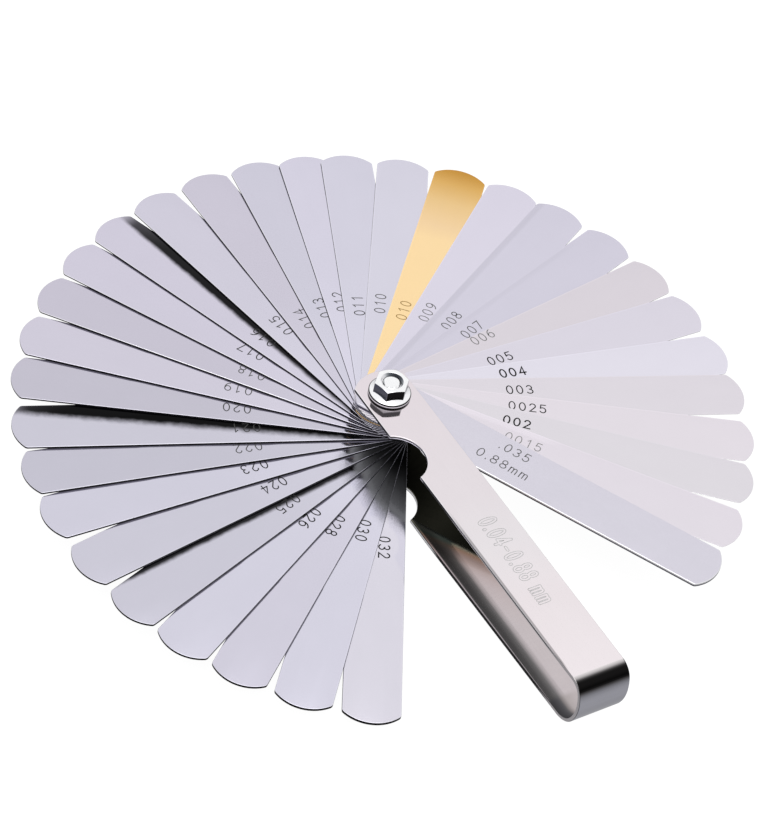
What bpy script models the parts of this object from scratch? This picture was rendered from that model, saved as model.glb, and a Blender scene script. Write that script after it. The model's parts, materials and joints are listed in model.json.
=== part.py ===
"""Feeler gauge: thirty-two leaf blades that fan out of a folded steel handle.

Frame: the origin is on the pivot axis at the plane the screw head rests on.
+X runs along the handle, from the pivot towards its bend.
+Z runs up the pivot screw, towards the nut. The fan is open in this pose.
"""
import math

import bmesh
import bpy
from mathutils import Matrix, Vector

MM = 0.001

# ---------------------------------------------------------------- dimensions, mm and degrees
SLIP = 0.03            # air between two neighbouring leaves, and between any two stacked faces

# Pivot screw
HEAD_R = 4.2           # low round head under the handle
HEAD_H = 2.0
HEAD_FLAT_R = 2.9      # flat crown the gauge rests on
HEAD_EDGE_H = 0.9      # height of the rounded edge around the crown
NECK_SIDE = 4.2        # square neck that keeps the screw from turning
NECK_SINK = 0.5        # the neck starts this far inside the head
NECK_SHORT = 0.05      # and stops this far below the floor of the handle
SHANK_R = 2.0          # M4
SCREW_CHAMFER = 0.3
SCREW_BELOW_NUT = 0.3  # the screw ends just below the top of the nut

# Handle
SHEET = 0.9            # sheet thickness
HANDLE_W = 13.3
BEND_X = 84.65         # the lower flange stays flat up to here
BEND_LOW_R, BEND_LOW_TURN = 5.6, 62.0   # sweep up from the lower flange
BEND_TOP_R, BEND_TOP_TURN = 3.8, 72.0   # tighter corner under the upper flange
ROOT_X = -7.3          # crest of the rounded pivot end
ROOT_R = 8.9
NOTCH_X, NOTCH_Y, NOTCH_R = 18.2, -9.0, 7.0
TRIM_X = 78.0          # the upper flange keeps its full width up to here on the -Y side
TRIM_ALONG, TRIM_DOWN = 0.0145, 0.0464  # the -Y edge draws in by these, per mm along and per mm down
TRIM_SLAB_CENTRE = (45, -20, 10)
TRIM_SLAB_SIZE = (130, 20, 40)
TOP_HOLE_R = 2.15
SQUARE_HOLE = 4.3

# Leaves
LEAF_W = 12.7
LEAF_TIP_X = 84.7      # crest of the rounded tip
LEAF_ROOT_X = -7.2     # crest of the rounded root
LEAF_END_R = 9.0
LEAF_CORNER_R = 1.0
LEAF_HOLE_R = 2.1

# Hex flange nut
NUT_AF = 7.05          # across the flats
NUT_TURN = 15.0        # how far a corner of the tightened nut stands past +X
NUT_H = 4.1
NUT_CROWN_R = NUT_AF / 2 - 0.1  # circle left on the top face by the corner cone
NUT_CORNER_SLOPE = 1.8          # the corner cone widens by this per mm down
FLANGE_R = 4.9
FLANGE_RIM = 0.8       # height of the rim
FLANGE_TOP_R = 3.0
FLANGE_CONE = 0.95     # height of the cone above the rim
FLANGE_TOP_BEVEL = 0.1
FLANGE_LOW_BEVEL = 0.15
HEXAGON_LIFT = 0.5     # the hexagon starts this far above the underside, within the flange
NUT_BORE_R = 2.05
NUT_MOUTH_R = 2.45

# How far rough stock and cutters run past the shape they make
ROOT_OVERRUN = 2
SIDE_OVERRUN = 3
BLANK_OVERRUN = 4
HOLE_OVERRUN = 3
TOP_HOLE_OVERRUN = 4   # below the upper flange
NUT_OVERRUN = 1

# The leaves from the top of the stack down: engraved inch size, thickness in mm,
# and the angle each stands open from the handle, in degrees.
LEAVES = (
    ("035in_088mm", 0.88, 28.6),
    ("0015in_004mm", 0.04, 38.8),
    ("002in_005mm", 0.05, 49.2),
    ("0025in_006mm", 0.06, 58.7),
    ("003in_008mm", 0.08, 69.2),
    ("004in_010mm", 0.10, 78.3),
    ("005in_013mm", 0.13, 88.4),
    ("006in_015mm", 0.15, 98.1),
    ("007in_018mm", 0.18, 108.1),
    ("008in_020mm", 0.20, 118.1),
    ("009in_023mm", 0.23, 127.1),
    ("010in_025mm_brass", 0.25, 136.5),
    ("010in_025mm", 0.25, 146.4),
    ("011in_028mm", 0.28, 156.1),
    ("012in_030mm", 0.30, 163.4),
    ("013in_033mm", 0.33, 172.1),
    ("014in_035mm", 0.35, 181.7),
    ("015in_038mm", 0.38, 191.8),
    ("016in_040mm", 0.40, 201.4),
    ("017in_043mm", 0.43, 210.8),
    ("018in_045mm", 0.45, 220.3),
    ("019in_048mm", 0.48, 229.9),
    ("020in_050mm", 0.50, 239.2),
    ("021in_053mm", 0.53, 249.5),
    ("022in_055mm", 0.55, 258.8),
    ("023in_058mm", 0.58, 268.0),
    ("024in_060mm", 0.60, 278.3),
    ("025in_063mm", 0.63, 288.3),
    ("026in_065mm", 0.65, 297.9),
    ("028in_070mm", 0.70, 307.6),
    ("030in_075mm", 0.75, 317.7),
    ("032in_080mm", 0.80, 328.0),
)

# Heights of the stacked faces
STACK = sum(thickness for _, thickness, _ in LEAVES) + SLIP * (len(LEAVES) + 1)
Z_LOWER = HEAD_H + SLIP                 # underside of the lower flange
Z_INSIDE = Z_LOWER + SHEET              # floor of the handle
Z_CEILING = Z_INSIDE + STACK
Z_TOP = Z_CEILING + SHEET               # top face of the handle
HANDLE_H = Z_TOP - Z_LOWER
Z_NUT = Z_TOP + SLIP
Z_NUT_TOP = Z_NUT + NUT_H
Z_SCREW_TOP = Z_NUT_TOP - SCREW_BELOW_NUT

# Base colours, linear RGB
SPRING_STEEL = (0.66, 0.65, 0.69)
BRASS = (0.83, 0.62, 0.25)
HANDLE_STEEL = (0.74, 0.71, 0.71)
SCREW_ZINC = (0.80, 0.80, 0.82)
NUT_ZINC = (0.86, 0.87, 0.89)

SHARP_ANGLE = 30       # edges that turn by more than this stay sharp on smooth-shaded pieces


# ---------------------------------------------------------------- scene and collections
for leftover in list(bpy.data.objects):
    bpy.data.objects.remove(leftover, do_unlink=True)
for collection in list(bpy.data.collections):
    bpy.data.collections.remove(collection)

gauge = bpy.data.collections.new("feeler_gauge")
cutters = bpy.data.collections.new("cutters")
bpy.context.scene.collection.children.link(gauge)
bpy.context.scene.collection.children.link(cutters)
cutters.hide_render = True


# ---------------------------------------------------------------- finishing
def metal(name, colour, roughness):
    made = bpy.data.materials.new(name)
    made.use_nodes = True
    shader = made.node_tree.nodes["Principled BSDF"]
    shader.inputs["Base Color"].default_value = (*colour, 1.0)
    shader.inputs["Roughness"].default_value = roughness
    shader.inputs["Metallic"].default_value = 1.0
    made.diffuse_color = (*colour, 1.0)
    return made


def finish(obj, look, smooth=True):
    obj.data.materials.append(look)
    if smooth:
        obj.data.shade_smooth()
        obj.data.set_sharp_from_angle(angle=math.radians(SHARP_ANGLE))


# ---------------------------------------------------------------- shape helpers
def arc(centre_x, centre_y, radius, start, end, steps):
    """steps + 1 points on a circle, angles in degrees."""
    angles = [math.radians(start + (end - start) * i / steps) for i in range(steps + 1)]
    return [
        (centre_x + radius * math.cos(angle), centre_y + radius * math.sin(angle))
        for angle in angles
    ]


def new_object(name, mesh, collection):
    made = bpy.data.objects.new(name, mesh)
    collection.objects.link(made)
    return made


def mesh_from(work, name):
    """Write a bmesh to a new mesh and free it."""
    mesh = bpy.data.meshes.new(name)
    work.to_mesh(mesh)
    work.free()
    return mesh


def weld(mesh):
    work = bmesh.new()
    work.from_mesh(mesh)
    bmesh.ops.remove_doubles(work, verts=work.verts, dist=2e-6)
    bmesh.ops.recalc_face_normals(work, faces=work.faces)
    work.to_mesh(mesh)
    work.free()


def flat_piece(name, outlines, thickness, z, rotation=(0, 0, 0), collection=gauge):
    """A plate centred on height z; any outline inside the first is a hole."""
    curve = bpy.data.curves.new(name + "_outline", "CURVE")
    curve.dimensions = "2D"
    curve.fill_mode = "BOTH"
    curve.extrude = thickness * MM / 2
    for outline in outlines:
        spline = curve.splines.new("POLY")
        spline.points.add(len(outline) - 1)
        for point, (x, y) in zip(spline.points, outline):
            point.co = (x * MM, y * MM, 0, 1)
        spline.use_cyclic_u = True
    guide = new_object(name + "_guide", curve, cutters)
    graph = bpy.context.evaluated_depsgraph_get()
    mesh = bpy.data.meshes.new_from_object(guide.evaluated_get(graph))
    bpy.data.objects.remove(guide, do_unlink=True)
    bpy.data.curves.remove(curve)
    weld(mesh)
    mesh.name = name
    made = new_object(name, mesh, collection)
    made.location = (0, 0, z * MM)
    made.rotation_euler = [math.radians(angle) for angle in rotation]
    return made


def turned(name, profile, steps, collection=gauge):
    """A profile of (radius, height) run from top to bottom, turned about Z."""
    work = bmesh.new()
    points = [work.verts.new((radius * MM, 0, z * MM)) for radius, z in profile]
    for first, second in zip(points, points[1:]):
        work.edges.new((first, second))
    made = new_object(name, mesh_from(work, name), collection)
    screw = made.modifiers.new("turn", "SCREW")
    screw.axis = "Z"
    screw.angle = math.radians(360)
    screw.steps = screw.render_steps = steps
    screw.use_merge_vertices = True
    screw.merge_threshold = 1e-6
    screw.use_smooth_shade = False
    return made


def prism(name, sides, corner_radius, bottom, top, corner_angle=None):
    """A regular cutter prism about Z, turned to put a corner at corner_angle if given."""
    work = bmesh.new()
    bmesh.ops.create_cone(
        work,
        cap_ends=True,
        segments=sides,
        radius1=corner_radius * MM,
        radius2=corner_radius * MM,
        depth=(top - bottom) * MM,
        matrix=Matrix.Translation((0, 0, (bottom + top) * MM / 2)),
    )
    made = new_object(name, mesh_from(work, name), cutters)
    if corner_angle is not None:
        corner = made.data.vertices[0].co
        turn = math.radians(corner_angle) - math.atan2(corner.y, corner.x)
        made.rotation_euler = (0, 0, turn)
    return made


def boolean(obj, other, operation):
    other.hide_render = True
    other.display_type = "WIRE"
    step = obj.modifiers.new(operation.lower() + "_" + other.name, "BOOLEAN")
    step.operation = operation
    step.solver = "EXACT"
    step.object = other


# ---------------------------------------------------------------- leaves
def rounded_end(crest):
    """The +X end of a leaf: a shallow arc with softened corners, counter-clockwise."""
    centre = crest - LEAF_END_R
    y = LEAF_W / 2 - LEAF_CORNER_R
    x = centre + math.sqrt((LEAF_END_R - LEAF_CORNER_R) ** 2 - y ** 2)
    turn = math.degrees(math.atan2(y, x - centre))
    low = arc(x, -y, LEAF_CORNER_R, -90, -turn, steps=3)
    crown = arc(centre, 0, LEAF_END_R, -turn, turn, steps=8)
    high = arc(x, y, LEAF_CORNER_R, turn, 90, steps=3)
    return low[:-1] + crown + high[1:]


def leaf_outline():
    """The root is a +X end turned half round."""
    root = [(-x, -y) for x, y in rounded_end(-LEAF_ROOT_X)]
    return rounded_end(LEAF_TIP_X) + root


def build_leaves():
    hole = arc(0, 0, LEAF_HOLE_R, 0, 360, steps=20)[:-1]
    top = Z_CEILING - SLIP
    for size, thickness, opened in LEAVES:
        leaf = flat_piece(
            "blade_" + size,
            [leaf_outline(), hole],
            thickness,
            z=top - thickness / 2,
            rotation=(0, 0, opened),
        )
        colour = BRASS if size.endswith("brass") else SPRING_STEEL
        finish(leaf, metal("leaf_" + size, colour, roughness=0.24), smooth=False)
        top -= thickness + SLIP


# ---------------------------------------------------------------- handle
def bend_arcs(inset):
    """The bend seen from the side: a sweep up, a flatter front and a tight upper corner.

    The three arcs share their tangents, and the front's radius closes the height.
    """
    low_turn = math.radians(BEND_LOW_TURN)
    top_turn = math.radians(BEND_TOP_TURN)
    front_r = (
        HANDLE_H
        - BEND_LOW_R * (1 - math.cos(low_turn))
        - BEND_TOP_R * (1 - math.cos(top_turn))
    ) / (math.cos(low_turn) + math.cos(top_turn))
    sections = (  # radius, start angle, end angle, steps
        (BEND_LOW_R, -90, BEND_LOW_TURN - 90, 9),
        (front_r, BEND_LOW_TURN - 90, 90 - BEND_TOP_TURN, 7),
        (BEND_TOP_R, 90 - BEND_TOP_TURN, 90, 8),
    )
    x, z = BEND_X, BEND_LOW_R
    previous = BEND_LOW_R
    points = []
    for radius, start, end, steps in sections:
        # The next centre lies on the line through the shared tangent point.
        x += (previous - radius) * math.cos(math.radians(start))
        z += (previous - radius) * math.sin(math.radians(start))
        points = points[:-1] + arc(x, z, radius - inset, start, end, steps)
        previous = radius
    return points


def hairpin_profile():
    """Side view of the folded strip, in X and Z above the lower face."""
    outer = bend_arcs(0.0)
    inner = bend_arcs(SHEET)[::-1]
    back = ROOT_X - ROOT_OVERRUN
    return (
        [(back, 0)]
        + outer
        + [(back, HANDLE_H), (back, HANDLE_H - SHEET)]
        + inner
        + [(back, SHEET)]
    )


def handle_plan():
    """Plan of the strip after blanking: rounded pivot end and a round notch in the -Y edge."""
    half = HANDLE_W / 2
    far = BEND_X + HANDLE_H
    turn = math.degrees(math.asin(half / ROOT_R))
    end = arc(ROOT_X + ROOT_R, 0, ROOT_R, 180 - turn, 180 + turn, steps=12)
    lift = math.degrees(math.asin((-half - NOTCH_Y) / NOTCH_R))
    notch = arc(NOTCH_X, NOTCH_Y, NOTCH_R, 180 - lift, lift, steps=16)
    return [(far, half)] + end + notch + [(far, -half)]


def trim_slab():
    """Everything beyond the slanting -Y edge plane of the strip."""
    centre = Vector(TRIM_SLAB_CENTRE) * MM
    size = Vector(TRIM_SLAB_SIZE) * MM
    work = bmesh.new()
    bmesh.ops.create_cube(
        work,
        size=1.0,
        matrix=Matrix.Translation(centre) @ Matrix.Diagonal((*size, 1)),
    )
    for vert in work.verts:
        if vert.co.y > centre.y:
            vert.co.y = (
                -HANDLE_W * MM / 2
                + TRIM_ALONG * (vert.co.x - TRIM_X * MM)
                + TRIM_DOWN * (Z_TOP * MM - vert.co.z)
            )
    return new_object("edge_trim", mesh_from(work, "edge_trim"), cutters)


def build_handle():
    handle = flat_piece(
        "handle",
        [hairpin_profile()],
        HANDLE_W + 2 * SIDE_OVERRUN,
        z=Z_LOWER,
        rotation=(90, 0, 0),
    )
    blank = flat_piece(
        "handle_blank",
        [handle_plan()],
        HANDLE_H + 2 * BLANK_OVERRUN,
        z=(Z_LOWER + Z_TOP) / 2,
        collection=cutters,
    )
    top_hole = prism(
        "top_flange_hole", 32, TOP_HOLE_R, Z_CEILING - TOP_HOLE_OVERRUN, Z_TOP + HOLE_OVERRUN
    )
    square_hole = prism(
        "square_hole",
        4,
        SQUARE_HOLE / math.sqrt(2),
        Z_LOWER - HOLE_OVERRUN,
        Z_INSIDE + HOLE_OVERRUN,
        corner_angle=45,
    )
    boolean(handle, blank, "INTERSECT")
    for cutter in (trim_slab(), top_hole, square_hole):
        boolean(handle, cutter, "DIFFERENCE")
    finish(handle, metal("handle_steel", HANDLE_STEEL, roughness=0.18))


# ---------------------------------------------------------------- pivot screw
def build_screw():
    # Quarter ellipse from the side of the head down to its flat crown.
    edge = [
        (HEAD_FLAT_R + (HEAD_R - HEAD_FLAT_R) * x, HEAD_EDGE_H * (1 - y))
        for x, y in arc(0, 0, 1, 0, 90, steps=5)
    ]
    profile = [
        (0, Z_SCREW_TOP),
        (SHANK_R - SCREW_CHAMFER, Z_SCREW_TOP),
        (SHANK_R, Z_SCREW_TOP - SCREW_CHAMFER),
        (SHANK_R, HEAD_H),
        (HEAD_R, HEAD_H),
        *edge,
        (0, 0),
    ]
    screw = turned("pivot_screw", profile, steps=28)
    neck = prism(
        "square_neck",
        4,
        NECK_SIDE / math.sqrt(2),
        HEAD_H - NECK_SINK,
        Z_INSIDE - NECK_SHORT,
        corner_angle=45,
    )
    boolean(screw, neck, "UNION")
    finish(screw, metal("screw_zinc", SCREW_ZINC, roughness=0.22))


# ---------------------------------------------------------------- hex flange nut
def build_nut():
    rim_top = Z_NUT + FLANGE_RIM
    above = Z_NUT_TOP + NUT_OVERRUN
    below = Z_NUT - NUT_OVERRUN
    flange_profile = [
        (0, rim_top + FLANGE_CONE),
        (FLANGE_TOP_R, rim_top + FLANGE_CONE),
        (FLANGE_R - FLANGE_TOP_BEVEL, rim_top),
        (FLANGE_R, rim_top - FLANGE_TOP_BEVEL),
        (FLANGE_R, Z_NUT + FLANGE_LOW_BEVEL),
        (FLANGE_R - FLANGE_LOW_BEVEL, Z_NUT),
        (0, Z_NUT),
    ]
    nut = turned("hex_flange_nut", flange_profile, steps=32)
    hexagon = prism(
        "nut_hexagon",
        6,
        NUT_AF / 2 / math.cos(math.radians(30)),
        Z_NUT + HEXAGON_LIFT,
        Z_NUT_TOP,
        corner_angle=NUT_TURN,
    )
    # The cone bevels the upper corners of the hexagon and clears the flange.
    widening = NUT_CORNER_SLOPE * NUT_OVERRUN
    cone_profile = [
        (0, above),
        (NUT_CROWN_R - widening, above),
        (NUT_CROWN_R, Z_NUT_TOP),
        (NUT_CROWN_R + widening, Z_NUT_TOP - NUT_OVERRUN),
        (NUT_CROWN_R + widening, below),
        (0, below),
    ]
    corner_cone = turned("nut_corner_cone", cone_profile, steps=32, collection=cutters)
    # The mouth of the bore opens at 45 degrees.
    bore_profile = [
        (0, above),
        (NUT_MOUTH_R + NUT_OVERRUN, above),
        (NUT_BORE_R, Z_NUT_TOP - (NUT_MOUTH_R - NUT_BORE_R)),
        (NUT_BORE_R, below),
        (0, below),
    ]
    bore = turned("nut_bore", bore_profile, steps=28, collection=cutters)
    boolean(nut, hexagon, "UNION")
    boolean(nut, corner_cone, "INTERSECT")
    boolean(nut, bore, "DIFFERENCE")
    finish(nut, metal("nut_zinc", NUT_ZINC, roughness=0.16))


build_leaves()
build_handle()
build_screw()
build_nut()
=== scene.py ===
"""Feeler gauge: thin measuring leaves on a pivot, held in a handle folded from sheet steel.

The pivot runs up Z through the origin. The handle's two flanges lie flat along +X, one above the
leaves and one below, and join in a bend at the +X end. Every leaf is drawn along +X and then
turned about Z to its open place. Lengths are in mm until MM takes them to metres.
"""
import json
import math

import bmesh
import bpy
import numpy as np
from mathutils import Matrix, Vector


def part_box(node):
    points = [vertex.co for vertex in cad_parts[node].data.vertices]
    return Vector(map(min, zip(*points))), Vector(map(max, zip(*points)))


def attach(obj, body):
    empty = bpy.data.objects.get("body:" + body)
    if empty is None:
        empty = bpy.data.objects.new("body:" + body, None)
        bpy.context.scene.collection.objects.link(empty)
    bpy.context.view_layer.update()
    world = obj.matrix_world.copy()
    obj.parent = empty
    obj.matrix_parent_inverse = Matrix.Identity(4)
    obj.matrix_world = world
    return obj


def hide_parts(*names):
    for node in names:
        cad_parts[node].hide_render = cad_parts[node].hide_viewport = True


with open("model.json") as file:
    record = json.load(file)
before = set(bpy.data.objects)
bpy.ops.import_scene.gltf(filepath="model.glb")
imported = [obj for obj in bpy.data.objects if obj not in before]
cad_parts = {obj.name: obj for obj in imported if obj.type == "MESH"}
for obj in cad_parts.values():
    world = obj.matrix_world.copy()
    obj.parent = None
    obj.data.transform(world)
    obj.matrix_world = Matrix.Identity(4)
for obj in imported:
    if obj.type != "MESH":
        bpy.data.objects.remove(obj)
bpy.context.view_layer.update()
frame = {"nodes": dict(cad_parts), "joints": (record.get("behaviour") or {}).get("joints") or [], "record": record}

MM = 0.001


def span(node):
    """Lowest and highest Z of a CAD piece."""
    low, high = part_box(node)
    return low.z / MM, high.z / MM


# ------------------------------------------------------------------ sizes
SHEET = 0.9
HANDLE_W = 13.3
HANDLE_LOW, HANDLE_HIGH = span("handle")
HANDLE_MID = (HANDLE_LOW + HANDLE_HIGH) / 2
BEND_X = 84.65  # where the lower flange starts to bend
BEND_LOW_R, BEND_LOW_TURN = 5.6, 62.0
BEND_TOP_R, BEND_TOP_TURN = 3.8, 72.0
ROOT_X, ROOT_R = -7.3, 8.9  # crest and radius of the flanges' rounded ends
NOTCH_X, NOTCH_Y, NOTCH_R = 18.2, -9.0, 7.0
# the -Y edge draws in with distance past TRIM_X and with depth below the top
TRIM_X, TRIM_ALONG, TRIM_DOWN = 78.0, 0.0145, 0.0464
TRIM_LOW_X, TRIM_TOP_X = 31.2, 76.6  # ends of the drawn-in edge on each flange
TOP_HOLE_R = 2.15
SQUARE_HOLE = 4.3

LEAF_W = 12.7
LEAF_TIP_X, LEAF_ROOT_X = 84.7, -7.2
LEAF_END_R, LEAF_CORNER_R = 9.0, 1.0
LEAF_HOLE_R = 2.1

NUT_AF, NUT_TURN, FLANGE_R = 7.05, 15.0, 4.9
FLANGE_RIM, FLANGE_CONE = 0.8, 0.65
NUT_BORE_R, NUT_MOUTH_R = 2.05, 2.60
CROWN_SLOPE, CROWN_IN = 20, 0.08  # degrees; how far inside the flats the crown's cone starts

SHANK_R, SCREW_TIP_R = 2.0, 1.7
HEAD_R, HEAD_FLAT_R, HEAD_DOME, HEAD_H = 4.2, 2.9, 0.9, 2.0
NECK_SIDE = 4.2
PITCH, THREAD_DEPTH = 0.7, 0.40
THREAD_FROM = HANDLE_HIGH - 0.6

PLATE_EDGE_STEPS = 3
VIEW_TURN = math.radians(50.1)  # from the camera's level axes to the model's
VIEW_AXES = {
    "right": (math.cos(VIEW_TURN), math.sin(VIEW_TURN), 0.0),
    "away": (-math.sin(VIEW_TURN), math.cos(VIEW_TURN), 0.0),
    "up": (0.0, 0.0, 1.0),
}
TO_CAMERA = (0.544, -0.455, 0.705)
CAMERA_MIRRORED = (-0.544, 0.455, 0.705)  # the same ray after a level mirror


# ------------------------------------------------------------------ outlines
def arc(centre_x, centre_y, radius, start, end, count, radius_y=None):
    """Points of a circular or elliptical arc between two angles in degrees."""
    radius_y = radius if radius_y is None else radius_y
    return [
        (
            centre_x + radius * math.cos(math.radians(start + (end - start) * i / count)),
            centre_y + radius_y * math.sin(math.radians(start + (end - start) * i / count)),
        )
        for i in range(count + 1)
    ]


def circle(radius, count, x=0.0):
    return arc(x, 0.0, radius, 0, 360, count)[:-1]


def square(side, x=0.0):
    return [
        (x + a * side / 2, b * side / 2) for a, b in ((1, 1), (-1, 1), (-1, -1), (1, -1))
    ]


def rounded_end(crest):
    """The +X end of a leaf: a shallow crown between two small corner arcs."""
    centre = crest - LEAF_END_R
    y = LEAF_W / 2 - LEAF_CORNER_R
    x = centre + math.sqrt((LEAF_END_R - LEAF_CORNER_R) ** 2 - y ** 2)
    turn = math.degrees(math.atan2(y, x - centre))
    low = arc(x, -y, LEAF_CORNER_R, -90, -turn, 8)
    crown = arc(centre, 0, LEAF_END_R, -turn, turn, 30)
    high = arc(x, y, LEAF_CORNER_R, turn, 90, 8)
    return low[:-1] + crown + high[1:]


# ------------------------------------------------------------------ mesh helpers
def add_object(name, data):
    made = bpy.data.objects.new(name, data)
    bpy.context.scene.collection.objects.link(made)
    return made


def weld(work):
    bmesh.ops.remove_doubles(work, verts=work.verts, dist=4e-7)
    bmesh.ops.recalc_face_normals(work, faces=work.faces)


def tidy(mesh):
    work = bmesh.new()
    work.from_mesh(mesh)
    weld(work)
    work.to_mesh(mesh)
    work.free()


def finish_mesh(work, name):
    """A new mesh from a bmesh, with its normals turned outward."""
    bmesh.ops.recalc_face_normals(work, faces=work.faces)
    mesh = bpy.data.meshes.new(name)
    work.to_mesh(mesh)
    work.free()
    return mesh


def plate_mesh(name, outlines, thickness, bevel):
    """A plate whose edges are rounded by bevel, from closed outlines; the inner ones are holes."""
    curve = bpy.data.curves.new(name, "CURVE")
    curve.dimensions = "2D"
    curve.fill_mode = "BOTH"
    curve.bevel_depth = bevel * MM
    curve.bevel_resolution = PLATE_EDGE_STEPS - 1
    curve.extrude = (thickness / 2 - bevel) * MM
    curve.offset = -bevel * MM
    for outline in outlines:
        spline = curve.splines.new("POLY")
        spline.points.add(len(outline) - 1)
        for point, (x, y) in zip(spline.points, outline):
            point.co = (x * MM, y * MM, 0, 1)
        spline.use_cyclic_u = True
    guide = add_object(name + "_guide", curve)
    graph = bpy.context.evaluated_depsgraph_get()
    mesh = bpy.data.meshes.new_from_object(guide.evaluated_get(graph))
    bpy.data.objects.remove(guide, do_unlink=True)
    bpy.data.curves.remove(curve)
    mesh.name = name
    tidy(mesh)
    return mesh


# corners of one face between two rings, as (ring of the pair, step round it)
RINGS_DOWN = ((0, 0), (1, 0), (1, 1), (0, 1))
RINGS_UP = ((0, 0), (0, 1), (1, 1), (1, 0))


def turned_mesh(name, profile, steps, corner_order=RINGS_DOWN):
    """A closed turned body from (radius, z) stations; radius may be a function of angle and z."""
    work = bmesh.new()
    rings = []
    for radius, z in profile:
        if not callable(radius) and radius <= 1e-9:
            rings.append([work.verts.new((0, 0, z * MM))])
            continue
        ring = []
        for i in range(steps):
            angle = 2 * math.pi * i / steps
            reach = (radius(angle, z) if callable(radius) else radius) * MM
            ring.append(
                work.verts.new((reach * math.cos(angle), reach * math.sin(angle), z * MM))
            )
        rings.append(ring)
    for pair in zip(rings, rings[1:]):
        for i in range(steps):
            corners = []
            for which, step in corner_order:
                ring = pair[which]
                vert = ring[(i + step) % len(ring)]
                if vert not in corners:
                    corners.append(vert)
            if len(corners) > 2:
                work.faces.new(corners)
    return finish_mesh(work, name)


def prism(name, points, bottom, top):
    work = bmesh.new()
    base = [work.verts.new((x * MM, y * MM, bottom * MM)) for x, y in points]
    face = work.faces.new(base)
    grown = bmesh.ops.extrude_face_region(work, geom=[face])
    lifted = [v for v in grown["geom"] if isinstance(v, bmesh.types.BMVert)]
    bmesh.ops.translate(work, verts=lifted, vec=(0, 0, (top - bottom) * MM))
    return add_object(name, finish_mesh(work, name))


def bake(obj):
    """Replace an object's mesh by the result of its modifiers."""
    graph = bpy.context.evaluated_depsgraph_get()
    mesh = bpy.data.meshes.new_from_object(obj.evaluated_get(graph))
    old = obj.data
    obj.modifiers.clear()
    obj.data = mesh
    mesh.name = obj.name
    if old.users == 0:
        bpy.data.meshes.remove(old)


def combine(obj, other, operation):
    """Boolean of two objects; the second one is used up."""
    step = obj.modifiers.new(operation, "BOOLEAN")
    step.operation = operation
    step.solver = "EXACT"
    step.object = other
    bake(obj)
    bpy.data.objects.remove(other, do_unlink=True)


def shade(mesh, sharp_degrees):
    mesh.shade_smooth()
    mesh.set_sharp_from_angle(angle=math.radians(sharp_degrees))


def weighted(obj):
    step = obj.modifiers.new("face_weighted", "WEIGHTED_NORMAL")
    step.keep_sharp = True
    step.weight = 90


# ------------------------------------------------------------------ node helpers
class Signal:
    """An output in a node graph; arithmetic on it adds math nodes."""

    def __init__(self, graph, socket):
        self.graph = graph
        self.socket = socket

    def __add__(self, other):
        return self.graph.math("ADD", self, other)

    def __radd__(self, other):
        return self.graph.math("ADD", other, self)

    def __sub__(self, other):
        return self.graph.math("SUBTRACT", self, other)

    def __rsub__(self, other):
        return self.graph.math("SUBTRACT", other, self)

    def __mul__(self, other):
        return self.graph.math("MULTIPLY", self, other)

    def soft(self, off, on):
        """0 at off and 1 at on, with a soft step between; off may be the greater."""
        step = self.graph.signal(
            "ShaderNodeMapRange",
            {"Value": self, "From Min": min(off, on), "From Max": max(off, on)},
            "Result", interpolation_type="SMOOTHSTEP",
        )
        return step if off < on else 1.0 - step


class Graph:
    """A node tree, emptied and built anew."""

    def __init__(self, tree):
        self.tree = tree
        tree.nodes.clear()

    def put(self, socket, value):
        if isinstance(value, Signal):
            self.tree.links.new(value.socket, socket)
        elif socket.type == "RGBA":
            socket.default_value = (*value[:3], 1.0)
        else:
            socket.default_value = value

    def node(self, kind, inputs=None, **settings):
        made = self.tree.nodes.new(kind)
        for key, value in settings.items():
            setattr(made, key, value)
        for key, value in (inputs or {}).items():
            self.put(made.inputs[key], value)
        return made

    def signal(self, kind, inputs=None, output=0, **settings):
        return Signal(self, self.node(kind, inputs, **settings).outputs[output])

    def math(self, operation, a, b=0.0):
        return self.signal("ShaderNodeMath", {0: a, 1: b, 2: 0.0}, operation=operation)

    def split(self, vector):
        made = self.node("ShaderNodeSeparateXYZ", {0: vector})
        return [Signal(self, socket) for socket in made.outputs]

    def camera_ray(self):
        return self.signal("ShaderNodeLightPath", output="Is Camera Ray")

    def mix_shaders(self, factor, first, second):
        return self.signal("ShaderNodeMixShader", {0: factor, 1: first, 2: second})

    def color_ramp(self, value, stops, interpolation="LINEAR"):
        """A table of (position, number or colour) spread over inputs from 0 to 1."""
        made = self.node("ShaderNodeValToRGB", {0: value})
        made.color_ramp.interpolation = interpolation
        elements = made.color_ramp.elements
        first, last = stops[0][0], stops[-1][0]
        for index, (position, tone) in enumerate(stops):
            at = (position - first) / (last - first)
            if index == 0:
                element = elements[0]
            elif index == len(stops) - 1:
                element = elements[len(elements) - 1]
            else:
                element = elements.new(at)
            element.position = at
            element.color = (*tone, 1.0) if isinstance(tone, tuple) else (tone, tone, tone, 1.0)
        return Signal(self, made.outputs["Color"])


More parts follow.
